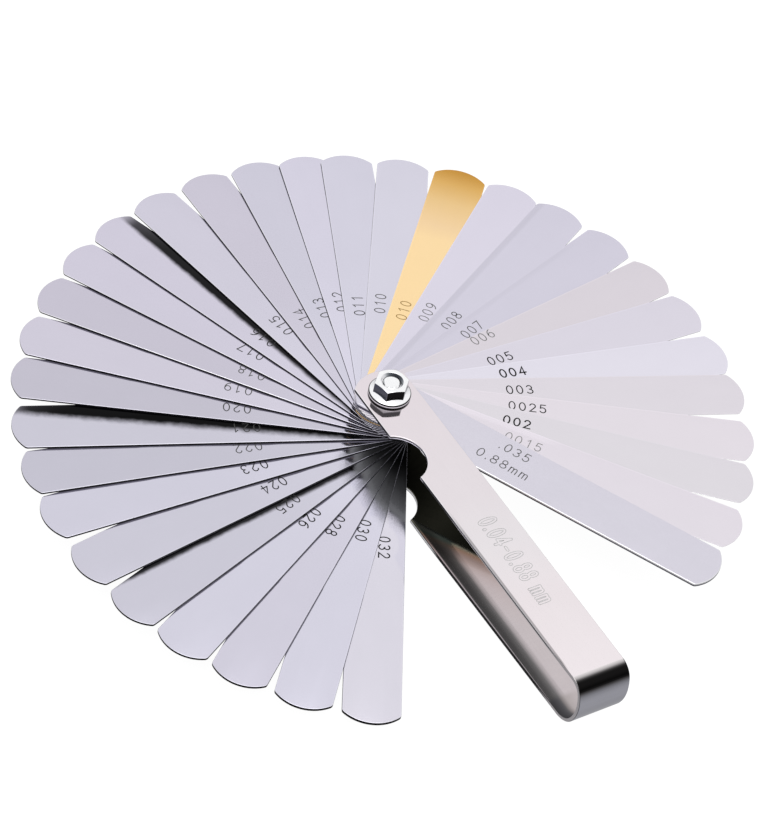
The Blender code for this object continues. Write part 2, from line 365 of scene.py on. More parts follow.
class Look(Graph):
    """One procedural material around a Principled shader, measured on the piece in mm."""

    def __init__(self, name):
        self.material = bpy.data.materials.new(name)
        self.material.use_nodes = True
        super().__init__(self.material.node_tree)
        self.out = self.node("ShaderNodeOutputMaterial")
        self.shader = self.node("ShaderNodeBsdfPrincipled")
        self.shaded = Signal(self, self.shader.outputs[0])
        self.put(self.out.inputs["Surface"], self.shaded)
        self.coords = self.node("ShaderNodeTexCoord")
        self.place = self.signal(
            "ShaderNodeVectorMath", {0: self.coord("Object"), "Scale": 1 / MM}, operation="SCALE"
        )

    def coord(self, name):
        return Signal(self, self.coords.outputs[name])

    def surface(self, values):
        for name, value in values.items():
            self.put(self.shader.inputs[name], value)

    def position(self):
        return self.split(self.place)

    def own_normal(self):
        return self.split(self.coord("Normal"))

    def noise(self, scale, stretch=(1, 1, 1), detail=2.0, rough=0.5, shift=0.0):
        moved = self.signal(
            "ShaderNodeMapping",
            {
                "Vector": self.place,
                "Scale": stretch,
                "Location": (shift, shift * 0.7, shift * 1.3),
            },
        )
        return self.signal(
            "ShaderNodeTexNoise",
            {"Vector": moved, "Scale": scale, "Detail": detail, "Roughness": rough},
            "Fac",
        )

    def wavering(self, *parts):
        """A factor about 1, swayed by (noise, share) pairs."""
        tone = 1.0 - 0.5 * sum(share for _, share in parts)
        for value, share in parts:
            tone = value * share + tone
        return tone

    def mix(self, factor, first, second, blend="MIX"):
        return self.signal(
            "ShaderNodeMix", {0: factor, 6: first, 7: second}, 2,
            data_type="RGBA", blend_type=blend, clamp_factor=True,
        )

    def scaled(self, colour, factor):
        return self.signal(
            "ShaderNodeVectorMath", {0: colour, "Scale": factor}, operation="SCALE"
        )

    def dimmed(self, colour, mask, depth):
        """A colour darkened by depth where the mask is 1."""
        return self.scaled(colour, 1.0 - mask * depth)

    def bump(self, height, strength, distance):
        inputs = {"Strength": strength, "Distance": distance, "Height": height}
        self.put(self.shader.inputs["Normal"], self.signal("ShaderNodeBump", inputs))

    def ramp(self, value, stops):
        """A table of (position, number or colour); positions run up."""
        inputs = {"Value": value, "From Min": stops[0][0], "From Max": stops[-1][0]}
        return self.color_ramp(self.signal("ShaderNodeMapRange", inputs), stops)

    def dot(self, vector, direction):
        return self.signal(
            "ShaderNodeVectorMath", {0: vector, 1: direction}, "Value", operation="DOT_PRODUCT"
        )

    def to_piece(self, vector):
        """A world direction on the piece's own axes."""
        return self.signal(
            "ShaderNodeVectorTransform", {0: vector},
            vector_type="VECTOR", convert_from="WORLD", convert_to="OBJECT",
        )

    def seen_indirectly(self):
        """1 for rays that come off another surface, 0 for the camera's own."""
        return 1.0 - self.camera_ray()

    def from_camera_side(self, opened=0.0):
        """1 for camera rays that come from near TO_CAMERA, on a piece opened by some degrees."""
        incoming = self.signal("ShaderNodeNewGeometry", output="Incoming")
        facing = self.dot(self.to_piece(incoming), turned_back(TO_CAMERA, opened))
        return facing.soft(off=0.90, on=0.96) * self.camera_ray()

    def level_mirror(self, opened):
        """1 where the mirror direction is that of a level face seen by the camera."""
        mirrored = self.to_piece(self.coord("Reflection"))
        facing = self.dot(mirrored, turned_back(CAMERA_MIRRORED, opened))
        return facing.soft(off=0.86, on=0.97)

    def view_reflection(self, axis):
        """The mirror direction along one of the camera's level axes."""
        return self.dot(self.coord("Reflection"), VIEW_AXES[axis])

    def stand_in(self, factor, colour):
        """Where factor is 1 the surface gives a fixed, even glow instead of its own shading."""
        glow = self.signal("ShaderNodeEmission", {"Color": colour})
        self.put(self.out.inputs["Surface"], self.mix_shaders(factor, self.shaded, glow))


def turned_back(direction, opened):
    """A world direction on the axes of a piece that is opened by some degrees."""
    return Matrix.Rotation(-math.radians(opened), 3, "Z") @ Vector(direction)


def display(r, g, b):
    """Scene-linear colour of a display colour given as 0 to 255."""
    return tuple(
        c / 3294.6 if c <= 10 else ((c / 255 + 0.055) / 1.055) ** 2.4 for c in (r, g, b)
    )


def grey(level):
    return display(level, level, level)


# ------------------------------------------------------------------ leaf materials
STEEL = display(208, 205, 219)
BRASS = display(240, 200, 130)
BAND_SHIFT_X = 0.0  # moves the band's upper line along the leaf
# (slanted distance from the handle, brightness) under the handle
MURK_STOPS = (
    (4.0, 0.006), (8.0, 0.013), (12.0, 0.037), (16.0, 0.085), (18.0, 0.118),
    (20.0, 0.23), (21.0, 0.33), (22.5, 0.55), (24.5, 0.90), (26.0, 1.0),
)
# (x, brightness) of a leaf's underside as other pieces mirror it
UNDERSIDE_STOPS = (
    (6.0, 0.012), (12.0, 0.035), (20.0, 0.10), (30.0, 0.03), (40.0, 0.014), (85.0, 0.012),
)


def dark_band(look, shaded, band, seed, opened):
    """The soft dark reflection beside the leaf above, between two lines y = start - slope x."""
    low_start, low_slope, top_start, top_slope, softness, fade_from, fade_to, depth = band
    x, y, _ = look.axes
    ripple = look.noise(scale=0.35, detail=3.0, rough=0.6, shift=seed) * (0.5 * softness)
    height = y + (x + BAND_SHIFT_X) * top_slope
    upper = (height + ripple).soft(
        off=top_start + 0.70 * softness, on=top_start - 0.20 * softness
    )
    lower = (y + x * low_slope).soft(off=low_start - 0.9, on=low_start - 0.6)
    mask = upper * lower * x.soft(off=fade_to, on=fade_from)
    mask = mask * look.level_mirror(opened)
    return look.mix(mask * depth, shaded, grey(9))


def handle_murk(look, shaded, murk, speck, grain, opened):
    """The dark reflection of the handle on a leaf that passes under it."""
    inset, slope = murk
    x, y, _ = look.axes
    slant = x + y * -slope + inset
    # both noises make its border uneven, by up to half of 3 mm and of 2 mm
    slant = slant + (speck - 0.5) * 3.0
    slant = slant + (grain - 0.5) * 2.0
    light = look.ramp(slant, MURK_STOPS)
    # the roots, close under the handle, keep only a quarter of it
    light = light * (0.25 + x.soft(off=7.0, on=14.0) * 0.75)
    seen = look.level_mirror(opened) * look.from_camera_side(opened)
    own = light * light.soft(off=0.12, on=0.50)
    shaded = look.dimmed(shaded, seen, 1.0 - own)
    # the darkest part is an even glow, so that nothing else is mirrored in it
    glow = light * light.soft(off=0.50, on=0.12) * seen
    look.surface({
        "Emission Color": look.scaled((0.91, 0.92, 1.0), glow),
        "Emission Strength": 0.72,
    })
    return shaded


def leaf_face(name, colour, seed, opened, band, rough, mottle, near, murk, rim, arris_highlight):
    """Ground spring-steel strip: lengthwise grain, faint cloudiness, painted highlights on the arrises.

    colour is one tone or a table of tones along X. mottle adds to the specks, near is painted light
    that lifts the tone towards the pivot. murk is (inset in mm, slope). rim is (change, reach) of
    painted light along the +Y edge: a highlight above 0, shade below. The last argument sets how
    bright the painted highlights on the arrises are.
    """
    look = Look(name)
    look.axes = x, y, _ = look.position()
    grain = look.noise(
        scale=1.0, stretch=(0.10, 2.6, 1.0), detail=3.0, rough=0.6, shift=seed * 3.1
    )
    fine = look.noise(scale=1.0, stretch=(0.35, 7.0, 1.0), rough=0.6, shift=seed * 5.7)
    cloud = look.noise(
        scale=0.11, stretch=(1, 1.4, 1), detail=3.0, rough=0.55, shift=seed * 7.9
    )
    speck = look.noise(scale=3.0, rough=0.7, shift=seed * 2.3)
    tone = look.wavering(
        (grain, 0.020), (fine, 0.022), (cloud, 0.035), (speck, 0.035 + mottle)
    )
    # painted highlight: the long borders are a little brighter
    border_highlight = look.math("ABSOLUTE", y).soft(off=LEAF_W / 2 - 0.40, on=LEAF_W / 2 - 0.15)
    tone = tone + border_highlight * 0.05
    # painted light: near lifts the tone towards the pivot
    if near:
        tone = tone + x.soft(off=46.0, on=16.0) * near
    base = look.ramp(x, colour) if isinstance(colour[0], tuple) else colour
    shaded = look.scaled(base, tone)
    if band:
        shaded = dark_band(look, shaded, band, seed, opened)
    if rim:
        change, reach = rim
        # painted light along the +Y edge: brighter where change is above 0, darker where it is below
        lip = y.soft(off=4.3, on=5.3) * x.soft(off=reach + 8.0, on=reach)
        shaded = look.scaled(shaded, 1.0 + lip * change)
    if murk is not None:
        shaded = handle_murk(look, shaded, murk, speck, grain, opened)
    # painted highlight on the arrises, weaker near the pivot
    _, _, nz = look.own_normal()
    arris = nz.soft(off=0.985, on=0.90) * nz.soft(off=0.2, on=0.3)
    arris = arris * (0.12 + x.soft(off=10.0, on=26.0) * 0.88)
    shaded = look.mix(arris * arris_highlight, shaded, (0.97, 0.965, 0.98))
    # what the leaves and the handle below mirror of this leaf's underside
    under = nz.soft(off=-0.3, on=-0.6) * look.seen_indirectly()
    look.stand_in(under, look.scaled(look.ramp(x, UNDERSIDE_STOPS), 0.5 + speck))
    look.surface({
        "Base Color": shaded,
        "Metallic": 1.0,
        "Anisotropic": 0.3,
        "Roughness": rough - 0.02 + cloud * 0.05 + grain * 0.02,
    })
    look.bump(grain * 0.6 + fine * 0.4, strength=0.02, distance=0.00002)
    return look.material


def sheared_side(look, seed, rough):
    """Lines and dents of a sheared edge: gives the dents and the tone factor."""
    lines = look.noise(scale=1.0, stretch=(0.6, 0.6, 9.0), rough=0.6, shift=seed * 1.9)
    dents = look.noise(scale=1.3, detail=3.0, rough=0.6, shift=seed * 4.1)
    look.surface({"Metallic": 1.0, "Roughness": rough + dents * 0.15})
    look.bump(lines, strength=0.10, distance=0.00003)
    return dents, 0.80 + (lines * 0.25 + dents * 0.15)


def leaf_edge(name, colour, seed, dark=(8, 8, 11), shelf=None):
    """The sheared side of a leaf: duller, dark where it mirrors the ground below it.

    Above the shelf height, in mm from mid thickness, the side is painted white as a highlight.
    """
    look = Look(name)
    _, tone = sheared_side(look, seed, rough=0.26)
    # the leaf below mirrors the side a second time, partly dark
    mirrored = 1.0 - look.seen_indirectly() * 0.6
    open_air = look.view_reflection("up").soft(off=-0.35, on=0.05) * mirrored
    light = tuple(c * 0.75 for c in colour)
    side = look.mix(open_air, display(*dark), light)
    if shelf is not None:
        _, _, z = look.position()
        # painted highlight: the side turns white above the shelf
        shelf_highlight = z.soft(off=shelf - 0.04, on=shelf + 0.06)
        side = look.mix(shelf_highlight, side, (1.0, 1.0, 1.0))
    look.surface({"Base Color": look.scaled(side, tone)})
    return look.material


def engraving(name, level, warm=0.0):
    """The burnt, matt floor of an engraved stroke, of a display grey made browner by warm."""
    look = Look(name)
    coarse = look.noise(scale=6.0, detail=3.0, rough=0.7, shift=2.0)
    patch = look.noise(scale=0.8, shift=9.0)
    tone = 0.45 + (coarse * 0.5 + patch * 0.6)
    r, g, b = grey(level)
    colour = (r * (1 + warm), g * (1 + 0.3 * warm), b * (1 - 0.5 * warm))
    look.surface({
        "Base Color": look.scaled(colour, tone),
        "Metallic": 0.6,
        "Specular IOR Level": 0.15,
        "Roughness": 0.45 + coarse * 0.25,
    })
    look.bump(coarse, strength=0.2, distance=0.00002)
    return look.material


# ------------------------------------------------------------------ handle materials
# (x, colour) of the polished flanges, lighter towards the bend as painted light
FLANGE_TONES = (
    (-8.0, display(227, 218, 223)), (34.0, display(228, 221, 225)),
    (48.0, display(231, 226, 229)), (66.0, display(235, 227, 230)),
    (87.0, display(239, 231, 234)),
)
# the painted reflection on the bend: (rightward part of the mirror direction, brightness) above the horizon,
# then (upward part, brightness) below it, then (upward part, factor) close to it
CARD_STOPS = (
    (0.08, 0.85), (0.15, 0.72), (0.22, 0.60), (0.30, 0.44), (0.38, 0.20), (0.46, 0.055),
    (0.54, 0.018), (0.62, 0.009), (1.0, 0.008),
)
GROUND_STOPS = (
    (-0.90, 0.60), (-0.78, 0.72), (-0.64, 0.74), (-0.55, 0.70), (-0.45, 0.57), (-0.34, 0.31),
    (-0.22, 0.17), (-0.10, 0.08), (0.02, 0.04), (0.14, 0.02), (0.30, 0.008),
)
HORIZON_STOPS = (
    (-0.02, 1.0), (0.0, 0.44), (0.2, 0.425), (0.4, 0.68), (0.56, 0.95), (0.76, 1.0),
)
# (x - 1.4 y, colour) of the strip's inside, with painted shade that makes it dark and brown by the pivot
INSIDE_TONES = (
    (37.0, display(98, 97, 84)), (38.8, display(131, 105, 91)), (41.0, display(141, 122, 117)),
    (43.0, display(161, 143, 139)), (44.5, display(178, 162, 160)),
    (47.0, display(187, 173, 173)), (50.0, display(191, 179, 180)),
    (62.0, display(196, 187, 189)), (110.0, display(200, 191, 194)),
)
# (x, brightness) of the upper flange's underside as the lower flange mirrors it
FAR_HALF_STOPS = ((10.0, 0.018), (26.0, 0.020), (32.0, 0.036), (50.0, 0.052), (75.0, 0.066))
# (y, colour) of the painted shade in the hollow of the bend
HOLLOW_TONES = (
    (-6.6, display(52, 51, 52)), (-5.0, display(66, 65, 68)), (-4.0, display(80, 79, 82)),
    (-3.5, display(96, 94, 96)), (-3.0, display(132, 126, 126)),
    (-2.0, display(174, 166, 166)), (0.0, display(188, 179, 180)),
    (6.6, display(196, 188, 190)),
)


def bend_mirror(look):
    """Painted reflection on the bend: a dark card above the horizon, and below it the pale ground."""
    right, up = look.view_reflection("right"), look.view_reflection("up")
    card = look.ramp(right, CARD_STOPS)
    ground = look.ramp(up, GROUND_STOPS)
    bent = look.mix(up.soft(off=0.10, on=0.30), ground, card)
    bent = look.mix(1.0, bent, look.ramp(up, HORIZON_STOPS), "MULTIPLY")
    # painted reflection tint: warm above, cool below
    steel = look.mix(up.soft(off=-0.05, on=-0.45), (0.97, 0.92, 0.93), (0.92, 0.92, 1.0))
    return look.mix(1.0, bent, steel, "MULTIPLY")


def handle_face(name):
    """Polished sheet steel: nearly a mirror, with fine lengthwise grain and handling marks."""
    look = Look(name)
    x, y, z = look.position()
    nx, ny, nz = look.own_normal()
    grain = look.noise(scale=1.0, stretch=(0.05, 3.2, 3.2), detail=3.0, rough=0.6, shift=3.3)
    cloud = look.noise(scale=0.10, stretch=(1, 1.5, 1), detail=3.0, shift=8.1)
    rubs = look.noise(scale=0.9, stretch=(0.25, 1.0, 1.0), detail=4.0, rough=0.7, shift=5.2)
    tone = look.wavering((grain, 0.035), (cloud, 0.05), (rubs, 0.02))
    on_bend = x.soft(off=86.5, on=87.1) * nx.soft(off=-0.02, on=0.06)
    base = look.mix(on_bend, look.ramp(x, FLANGE_TONES), bend_mirror(look))
    base = look.scaled(base, tone)
    # painted highlights on the arrises, short of the bend
    arris = nz.soft(off=0.985, on=0.90) * nx.soft(off=0.03, on=0.0)
    arris = arris * (nz.soft(off=0.1, on=0.3) * x.soft(off=80.0, on=72.0))
    base = look.mix(arris, base, (0.97, 0.95, 0.96))
    # painted shade on the rounded -Y edge round the bend
    lip = ny.soft(off=-0.08, on=-0.30) * x.soft(off=78.0, on=84.0)
    base = look.dimmed(base, lip, 0.62)
    # painted shade along the -Y border of the upper flange, where the shear has drawn it down a little
    along = x.soft(off=34.0, on=46.0) * x.soft(off=85.5, on=82.0)
    drawn = y.soft(off=-6.0, on=-6.3) * along
    drawn = drawn * z.soft(off=HANDLE_MID, on=HANDLE_MID + 3.0)
    look.surface({
        "Base Color": look.dimmed(base, drawn, 0.5),
        "Metallic": 1.0,
        "Anisotropic": 0.2,
        "Roughness": 0.035 + cloud * 0.03 + rubs * 0.02,
    })
    look.bump(grain * 0.7 + rubs * 0.3, strength=0.03, distance=0.00003)
    return look.material


def handle_edge(name):
    """The strip's sheared sides: a painted highlight on top, a painted dark core, grey burr; an even grey on the
    bend.
    """
    look = Look(name)
    x, y, z = look.position()
    dents, tone = sheared_side(look, seed=8.0, rough=0.22)
    depth = (HANDLE_HIGH - z) + dents * 0.05
    core = depth.soft(off=0.22, on=0.30) * depth.soft(off=0.62, on=0.52)
    # the painted dark core reaches higher at the root and past the notch
    dark_core_reach = x.soft(off=11.5, on=10.5) + x.soft(off=25.4, on=26.4) * x.soft(off=42.0, on=35.0)
    dark = core + dark_core_reach * depth.soft(off=0.12, on=0.20)
    # painted highlight on the upper flange's side, around the painted dark core
    upper = look.mix(dark, (0.80, 0.78, 0.79), display(24, 24, 26))
    # the lower flange: painted highlight towards the root, painted shade along its bottom
    lower = look.mix(x.soft(off=37.0, on=33.0), display(22, 22, 24), (1.0, 0.99, 1.0))
    lower = look.mix(z.soft(off=2.33, on=2.25), lower, display(30, 30, 32))
    side = look.mix(z.soft(off=HANDLE_MID - 3.0, on=HANDLE_MID + 3.0), lower, upper)
    side = look.mix(x.soft(off=76.0, on=83.0), side, (0.66, 0.63, 0.64))
    # the sides that face +Y are an even grey
    _, ny, _ = look.own_normal()
    side = look.mix(ny.soft(off=0.1, on=0.4), side, display(120, 116, 118))
    look.surface({"Base Color": look.scaled(side, tone)})
    # what the leaves below mirror of the upper flange's side
    aloft = z.soft(off=HANDLE_MID, on=HANDLE_MID + 3.0) * look.seen_indirectly()
    look.stand_in(aloft * x.soft(off=34.0, on=30.0), (0.93, 0.93, 0.96))
    return look.material


def mirrored_underside(look, x, y, slant):
    """What the lower flange and the leaves mirror of the upper flange's underside.

    The +Y half is seen in the flange 13 mm below it, the -Y half in the leaves.
    """
    far = look.ramp(x, FAR_HALF_STOPS) * (1.0 + y.soft(off=3.2, on=5.2) * 1.2)
    rim = y.soft(off=4.8, on=6.3) * x.soft(off=24.0, on=31.0)
    # divided by the lower flange's own tone, drawn part of the way to grey, where it shows
    greys = tuple((at, tuple(0.6 * c + 0.4 * sum(tint) / 3 for c in tint))
                  for at, tint in INSIDE_TONES)
    lower_tone = look.ramp(slant + 22.1, greys)
    shown = look.signal("ShaderNodeVectorMath", {0: far, 1: lower_tone}, operation="DIVIDE")
    above = look.mix(rim, shown, (0.80, 0.80, 0.80))
    return look.mix(y.soft(off=0.1, on=1.6), (0.95, 0.95, 0.98), above)


def handle_inside(name):
    """The strip's inside: mill finish, crosswise drawing marks, and painted shade, dark and brown by the pivot."""
    look = Look(name)
    x, y, z = look.position()
    grain = look.noise(scale=1.0, stretch=(0.12, 3.0, 3.0), detail=3.0, rough=0.6, shift=6.3)
    draw = look.noise(scale=1.0, stretch=(2.6, 0.25, 0.25), rough=0.6, shift=2.1)
    cloud = look.noise(scale=0.15, detail=3.0, rough=0.6, shift=1.7)
    tone = look.wavering((grain, 0.08), (draw, 0.07), (cloud, 0.10))
    slant = x + y * -1.4
    base = look.scaled(look.ramp(slant, INSIDE_TONES), tone)
    # painted shade makes the rounded -Y edge, between the notch and the bend, nearly black
    _, ny, nz = look.own_normal()
    rolled = ny.soft(off=-0.03, on=-0.15) * nz.soft(off=0.15, on=0.30)
    rolled = rolled * (x.soft(off=25.0, on=26.5) * x.soft(off=86.0, on=84.0))
    base = look.dimmed(base, rolled, 0.93)
    under = nz.soft(off=-0.3, on=-0.6) * look.seen_indirectly()
    above = mirrored_underside(look, x, y, slant)
    # the hollow of the bend, seen by the camera, carries the lower flange's shading on
    hollow = x.soft(off=BEND_X - 3.8, on=BEND_X - 2.2) * z.soft(off=9.0, on=6.0)
    hollow = hollow * nz.soft(off=-0.2, on=0.0) * look.from_camera_side()
    carried = look.scaled(look.ramp(y, HOLLOW_TONES), tone)
    upward = nz.soft(off=-0.25, on=-0.15)
    look.stand_in(under + hollow, look.mix(upward, above, carried))
    look.surface({"Base Color": base, "Metallic": 1.0, "Roughness": 0.045 + cloud * 0.05})
    look.bump(grain + draw * 0.6, strength=0.05, distance=0.00003)
    return look.material


# ------------------------------------------------------------------ zinc plating
# (mirror direction, mostly its part away from the camera, colour) in the nut's mouth
MOUTH_TONES = (
    (-0.8, display(52, 54, 60)), (-0.3, display(88, 92, 98)), (0.1, display(140, 144, 148)),
    (0.5, display(205, 207, 210)), (0.9, display(240, 240, 242)),
)


def reach_and_height(look):
    """Distance from the piece's Z axis, and Z."""
    x, y, z = look.position()
    return look.math("SQRT", x * x + y * y), z


def zinc(name, base=(0.93, 0.935, 0.945), rim=None, mouth=None):
    """Bright zinc plating: white on the lit faces and deep where it mirrors the ground.

    rim: heights of the painted highlight line on the flange's rolled edge; mouth: radius of the painted reflection
    in the mouth.
    """
    look = Look(name)
    spangle = look.noise(scale=1.6, detail=3.0, rough=0.6, shift=4.4)
    mottle = look.noise(scale=6.0, rough=0.6, shift=1.4)
    lit = look.scaled(base, 0.93 + (spangle * 0.10 + mottle * 0.04))
    right, away, up = (look.view_reflection(axis) for axis in ("right", "away", "up"))
    # the mirrored ground: black, paler to the left, in one middle strip and far away
    deep = look.mix(right.soft(off=-0.30, on=-0.50), grey(17), display(85, 88, 97))
    strip = right.soft(off=-0.42, on=-0.20) * right.soft(off=0.32, on=0.10)
    strip = strip * away.soft(off=0.3, on=0.1)
    deep = look.mix(strip, deep, display(172, 172, 178))
    deep = look.mix(away.soft(off=0.35, on=0.60), deep, display(96, 98, 104))
    lit = look.mix(up.soft(off=-0.25, on=-0.50), lit, deep)
    if mouth:
        reach, _ = reach_and_height(look)
        ring = reach.soft(off=mouth + 0.10, on=mouth - 0.02) * up.soft(off=0.97, on=0.85)
        lit = look.mix(ring, lit, look.ramp(away + right * 0.5, MOUTH_TONES))
    # mirrored is what the handle mirrors of the upright faces
    mirrored = grey(17)
    if rim:
        bottom, top = rim
        reach, z = reach_and_height(look)
        # painted light on the flange's rolled side: dark, with a bright line between bottom and top
        side = reach.soft(off=FLANGE_R - 0.30, on=FLANGE_R - 0.12)
        line = z.soft(off=bottom - 0.07, on=bottom) * z.soft(off=top + 0.07, on=top)
        lit = look.mix(side, lit, look.mix(line, grey(20), display(225, 226, 230)))
        flats = look.mix(
            z.soft(off=bottom + 1.9, on=bottom + 2.4), display(168, 168, 171),
            display(72, 72, 74),
        )
        rolled = look.mix(
            z.soft(off=top - 0.04, on=top + 0.08), grey(17), display(165, 165, 168)
        )
        mirrored = look.mix(side, flats, rolled)
    _, _, nz = look.own_normal()
    upright = nz.soft(off=0.55, on=0.35) * nz.soft(off=-0.55, on=-0.35)
    look.surface({
        "Base Color": look.mix(upright * look.seen_indirectly(), lit, mirrored),
        "Metallic": 1.0,
        "Roughness": 0.12 + spangle * 0.08,
    })
    look.bump(spangle + mottle * 0.5, strength=0.05, distance=0.00005)
    return look.material


# ------------------------------------------------------------------ stroke lettering
def bow(centre_x, centre_y, radius_x, radius_y, start, end, count):
    return arc(centre_x, centre_y, radius_x, start, end, count, radius_y)


def ring_stroke(*oval, count):
    return bow(*oval, 0, 360, count)[:-1], True


# centre lines of each character in a cell 1 wide and 1.5 high:
# (list of (points, closed) strokes, cell width)
GLYPHS = {
    "0": ([ring_stroke(0.5, 0.75, 0.43, 0.75, count=36)], 1.0),
    "1": ([([(0.30, 1.20), (0.42, 1.28), (0.64, 1.5), (0.64, 0.0)], False)], 1.0),
    "2": ([(bow(0.5, 1.08, 0.40, 0.42, 165, -28, 16) + [(0.08, 0.0), (0.95, 0.0)], False)], 1.0),
    "3": (
        [
            (
                bow(0.47, 1.12, 0.37, 0.38, 150, -80, 14)
                + bow(0.47, 0.39, 0.44, 0.39, 84, -150, 18),
                False,
            )
        ],
        1.0,
    ),
    "4": ([([(0.70, 0.0), (0.70, 1.5), (0.04, 0.42), (0.98, 0.42)], False)], 1.0),
    "5": (
        [
            (
                [(0.86, 1.5), (0.22, 1.5), (0.14, 0.84)]
                + bow(0.46, 0.48, 0.44, 0.48, 128, -150, 20),
                False,
            )
        ],
        1.0,
    ),
    "6": (
        [
            ring_stroke(0.49, 0.46, 0.42, 0.46, count=28),
            (bow(0.86, 0.62, 0.79, 0.88, 180, 100, 10), False),
        ],
        1.0,
    ),
    "7": ([([(0.06, 1.5), (0.94, 1.5), (0.34, 0.0)], False)], 1.0),
    "8": (
        [
            ring_stroke(0.5, 1.13, 0.35, 0.37, count=24),
            ring_stroke(0.5, 0.38, 0.43, 0.38, count=28),
        ],
        1.0,
    ),
    "9": (
        [
            ring_stroke(0.51, 1.04, 0.42, 0.46, count=28),
            (bow(0.14, 0.88, 0.79, 0.88, 0, -80, 10), False),
        ],
        1.0,
    ),
    "m": (
        [
            ([(0.06, 0.0), (0.06, 1.0)], False),
            (bow(0.31, 0.72, 0.25, 0.26, 180, 0, 12) + [(0.56, 0.0)], False),
            (bow(0.81, 0.72, 0.25, 0.26, 180, 0, 12) + [(1.06, 0.0)], False),
        ],
        1.12,
    ),
    ".": ([([(0.12, 0.0), (0.12, 0.12)], False)], 0.24),
    "-": ([([(0.1, 0.62), (0.7, 0.62)], False)], 0.8),
    " ": ([], 0.5),
}


def placed_characters(text, x, y, height, width, gap):
    """Left side, right side and placed strokes of each character, read along +X."""
    for character in text:
        strokes, cell = GLYPHS[character]
        placed = [
            ([(x + px * width, y + py * height / 1.5) for px, py in points], closed)
            for points, closed in strokes
        ]
        yield x, x + cell * width, placed
        x += cell * width + gap


def stroke_ribbon(work, points, closed, half, bottom, top):
    """One closed, flat-topped stroke of even width along a centre line."""
    count = len(points)
    rows = []
    for i, (x, y) in enumerate(points):
        before = points[(i - 1) % count] if closed or i > 0 else None
        after = points[(i + 1) % count] if closed or i < count - 1 else None
        directions = []
        if before:
            directions.append(Vector((x - before[0], y - before[1])).normalized())
        if after:
            directions.append(Vector((after[0] - x, after[1] - y)).normalized())
        mean = sum(directions, Vector((0.0, 0.0))).normalized()
        normal = Vector((-mean.y, mean.x))
        # wider at a corner, but never by more than 1 / 0.45
        reach = half / max(0.45, mean.dot(directions[0]))
        # open ends run on by half the stroke's width
        overrun = Vector((0.0, 0.0))
        if not closed and before is None:
            overrun = -mean * half
        elif not closed and after is None:
            overrun = mean * half
        here = Vector((x, y)) + overrun
        left = here + normal * reach
        right = here - normal * reach
        rows.append([
            work.verts.new((side.x * MM, side.y * MM, z * MM))
            for side, z in ((left, top), (right, top), (right, bottom), (left, bottom))
        ])
    for i in range(count if closed else count - 1):
        one, two = rows[i], rows[(i + 1) % count]
        for k in range(4):
            work.faces.new((one[k], one[(k + 1) % 4], two[(k + 1) % 4], two[k]))
    if not closed:
        work.faces.new(rows[0])
        work.faces.new(rows[-1][::-1])


def lettering(name, lines, half, bottom, top):
    """lines: (text, x, y, height, cell width, gap)."""
    work = bmesh.new()
    for line in lines:
        for _, _, strokes in placed_characters(*line):
            for points, closed in strokes:
                stroke_ribbon(work, points, closed, half, bottom, top)
    return finish_mesh(work, name)


def away_from_strokes(strokes, grid_x, grid_y):
    """Distance from each grid point to the nearest centre line of one character."""
    nearest = np.full(grid_x.shape, 1e9)
    for points, closed in strokes:
        ends = points[1:] + ([points[0]] if closed else [])
        for (ax, ay), (bx, by) in zip(points, ends):
            dx, dy = bx - ax, by - ay
            length = dx * dx + dy * dy
            t = np.clip(((grid_x - ax) * dx + (grid_y - ay) * dy) / max(length, 1e-12), 0, 1)
            gap = np.hypot(grid_x - ax - t * dx, grid_y - ay - t * dy)
            nearest = np.minimum(nearest, gap)
    return nearest


def level_loops(xs, ys, field, level):
    """Closed level lines of a field on a grid, by marching squares."""
    links = {}
    spots = {}

    def crossing(i, j, side):
        a, b, key = (
            ((i, j), (i + 1, j), ("h", i, j)),
            ((i + 1, j), (i + 1, j + 1), ("v", i + 1, j)),
            ((i, j + 1), (i + 1, j + 1), ("h", i, j + 1)),
            ((i, j), (i, j + 1), ("v", i, j)),
        )[side]
        t = (level - field[a]) / (field[b] - field[a])
        spots[key] = (
            xs[a[0]] + t * (xs[b[0]] - xs[a[0]]),
            ys[a[1]] + t * (ys[b[1]] - ys[a[1]]),
        )
        return key

    inside = field < level
    for i in range(len(xs) - 1):
        for j in range(len(ys) - 1):
            corners = (inside[i, j], inside[i + 1, j], inside[i + 1, j + 1], inside[i, j + 1])
            sides = [k for k in range(4) if corners[k] != corners[(k + 1) % 4]]
            if len(sides) == 4:
                sides = [0, 1, 2, 3] if corners[1] else [3, 0, 1, 2]
            for first, second in zip(sides[::2], sides[1::2]):
                one, two = crossing(i, j, first), crossing(i, j, second)
                links.setdefault(one, []).append(two)
                links.setdefault(two, []).append(one)
    loops = []
    while links:
        loop, here = [], next(iter(links))
        while here in links and links[here]:
            loop.append(spots[here])
            there = links[here].pop()
            links[there].remove(here)
            if not links[here]:
                del links[here]
            here = there
        links.pop(here, None)
        if len(loop) > 5:
            loops.append(loop)
    return loops


def outline_marks(name, line, spread, half, bottom, top):
    """Open outline characters: one thin engraved line all round each character's stroke."""
    margin, grid = 0.8, 0.06
    _, _, y, height, _, _ = line
    work = bmesh.new()
    for left, right, strokes in placed_characters(*line):
        if strokes:
            xs = np.arange(left - margin, right + margin, grid)
            ys = np.arange(y - margin, y + height + margin, grid)
            grid_x, grid_y = np.meshgrid(xs, ys, indexing="ij")
            # the small offset keeps grid points off the level itself
            field = away_from_strokes(strokes, grid_x, grid_y) + 1e-7
            for loop in level_loops(xs, ys, field, spread):
                stroke_ribbon(work, loop[::2], True, half, bottom, top)
    return finish_mesh(work, name)


